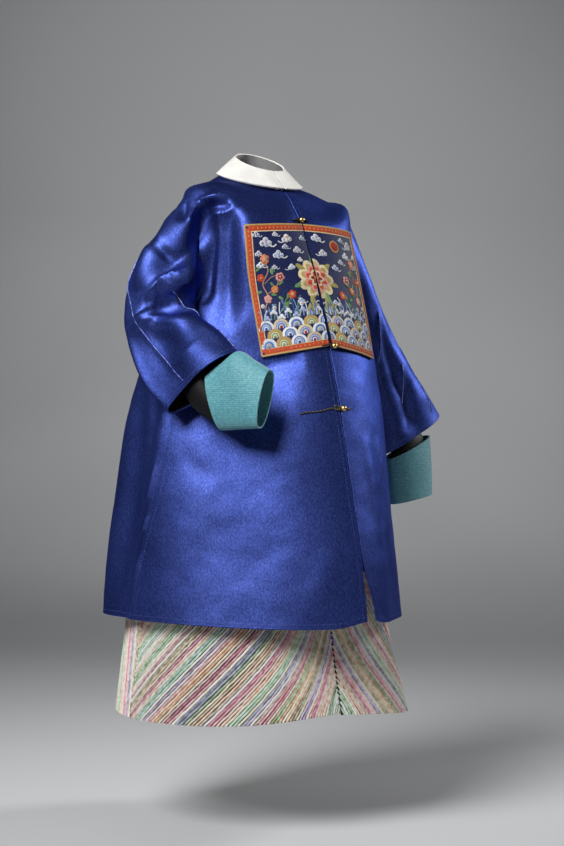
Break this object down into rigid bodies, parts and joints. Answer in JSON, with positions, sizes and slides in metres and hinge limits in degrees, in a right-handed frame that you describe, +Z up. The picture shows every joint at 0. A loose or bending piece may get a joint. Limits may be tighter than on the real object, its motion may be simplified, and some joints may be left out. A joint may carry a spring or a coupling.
{
  "type": "doll-size chinese court dress: surcoat worn over a dragon robe",
  "caption": "Hollow court dress for a quarter-scale figure: blue satin surcoat with badge over a striped-hem robe with horse-hoof cuffs and a stiff collar.",
  "frame": {"origin": "middle of the neck opening, where the dress hangs on the wearer's neck and shoulders", "axes": "+Z up, the front faces -Y, the wearer's left is +X"},
  "size_m": [0.2282, 0.1798, 0.3354],
  "materials": {
    "blue_satin": "silk satin, soft sheen",
    "striped_hem": "couched twisted cords in slanting pastel stripes",
    "black_silk": "plain weave",
    "turquoise_silk": "stiffened plain weave",
    "white_linen": "stiffened, pressed smooth",
    "embroidery": "silk and gilt thread embroidery",
    "gilt_brass": "polished",
    "black_cord": "twisted silk cord"
  },
  "bodies": {
    "root": {"coat_right": "blue_satin", "coat_left": "blue_satin", "coat_sleeve_right": "blue_satin", "coat_sleeve_left": "blue_satin", "robe_right": "striped_hem", "robe_left": "striped_hem", "robe_sleeve_right": "black_silk", "robe_sleeve_left": "black_silk", "cuff_right": "turquoise_silk", "cuff_left": "turquoise_silk", "collar_right": "white_linen", "collar_left": "white_linen", "badge_right": "embroidery", "badge_left": "embroidery", "button_1": "gilt_brass", "button_2": "gilt_brass", "button_3": "gilt_brass", "frog_1_right": "black_cord", "frog_1_left": "black_cord", "frog_2_right": "black_cord", "frog_2_left": "black_cord", "frog_3_right": "black_cord", "frog_3_left": "black_cord"}
  },
  "joints": []
}
